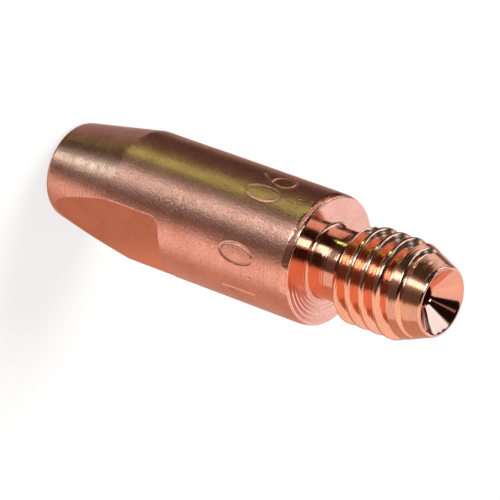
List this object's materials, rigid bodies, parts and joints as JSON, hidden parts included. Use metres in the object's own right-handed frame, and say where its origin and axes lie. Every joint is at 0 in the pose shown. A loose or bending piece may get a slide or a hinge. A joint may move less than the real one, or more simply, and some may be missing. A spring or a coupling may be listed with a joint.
{
  "type": "welding contact tip",
  "caption": "Round copper contact tip with a tapered nose, wrench flats, a plain body, a relieved neck, a threaded end and a wire bore with a flared mouth.",
  "frame": {"origin": "centre of the nose face, at the end of the wire bore", "axes": "+Z along the bore from the nose to the threaded end, +X square to one wrench flat"},
  "size_m": [0.008, 0.008, 0.028],
  "materials": {
    "copper": "satin turned copper"
  },
  "bodies": {
    "root": {"contact_tip": "copper"}
  },
  "joints": []
}
